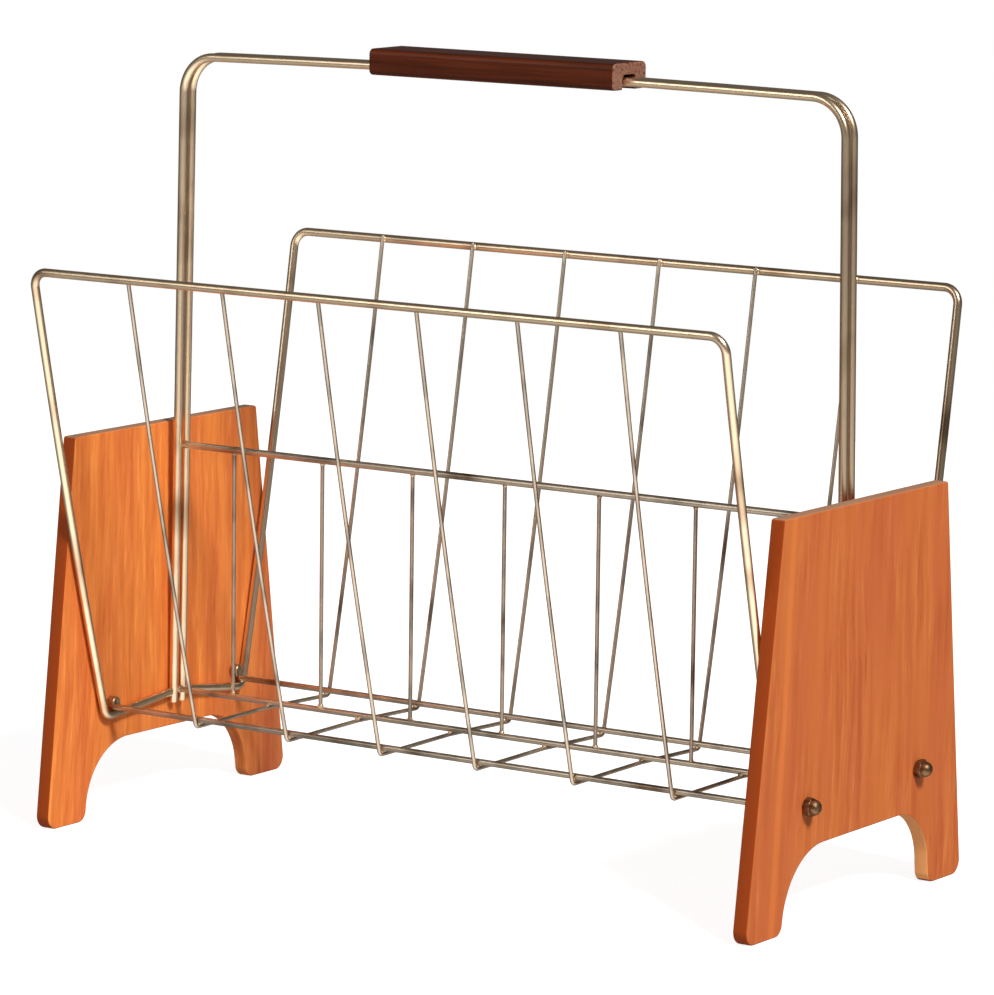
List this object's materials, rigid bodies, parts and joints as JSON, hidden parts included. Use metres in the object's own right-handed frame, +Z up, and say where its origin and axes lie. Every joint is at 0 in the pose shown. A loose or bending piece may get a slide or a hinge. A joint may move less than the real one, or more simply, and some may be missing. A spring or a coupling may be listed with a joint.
{
  "type": "magazine basket",
  "caption": "Standing magazine basket of bent brass-plated wire between two teak end panels, with a wire divider and a carrying handle with a wooden grip.",
  "frame": {"origin": "on the floor, under the middle of the basket's outline", "axes": "+X along the length towards the right end panel, +Y towards the rear rail, +Z up"},
  "size_m": [0.4868, 0.2445, 0.4411],
  "materials": {
    "teak": "oiled, fine upright grain",
    "grip_rosewood": "polished, dark",
    "frame_wire_brass": "aged brass plating on steel, satin",
    "floor_wire_brass": "aged brass plating on steel, satin",
    "thin_wire_brass": "aged brass plating on steel, satin",
    "boss_brass": "aged brass plating on steel, satin",
    "nut_brass": "dark aged brass, domed"
  },
  "bodies": {
    "root": {"left_end_panel": "teak", "right_end_panel": "teak", "front_frame_wire": "frame_wire_brass", "rear_frame_wire": "frame_wire_brass", "front_handle_rod": "frame_wire_brass", "rear_handle_rod": "frame_wire_brass", "handle_grip": "grip_rosewood", "front_floor_rod": "floor_wire_brass", "rear_floor_rod": "floor_wire_brass", "centre_floor_wire": "floor_wire_brass", "rib_wire_1": "thin_wire_brass", "rib_wire_2": "thin_wire_brass", "rib_wire_3": "thin_wire_brass", "rib_wire_4": "thin_wire_brass", "rib_wire_5": "thin_wire_brass", "rib_wire_6": "thin_wire_brass", "divider_rail": "thin_wire_brass", "divider_wire_1": "thin_wire_brass", "divider_wire_2": "thin_wire_brass", "divider_wire_3": "thin_wire_brass", "divider_wire_4": "thin_wire_brass", "divider_wire_5": "thin_wire_brass", "divider_wire_6": "thin_wire_brass", "left_front_stud_boss": "boss_brass", "left_front_cap_nut": "nut_brass", "left_rear_stud_boss": "boss_brass", "left_rear_cap_nut": "nut_brass", "right_front_stud_boss": "boss_brass", "right_front_cap_nut": "nut_brass", "right_rear_stud_boss": "boss_brass", "right_rear_cap_nut": "nut_brass"}
  },
  "joints": []
}
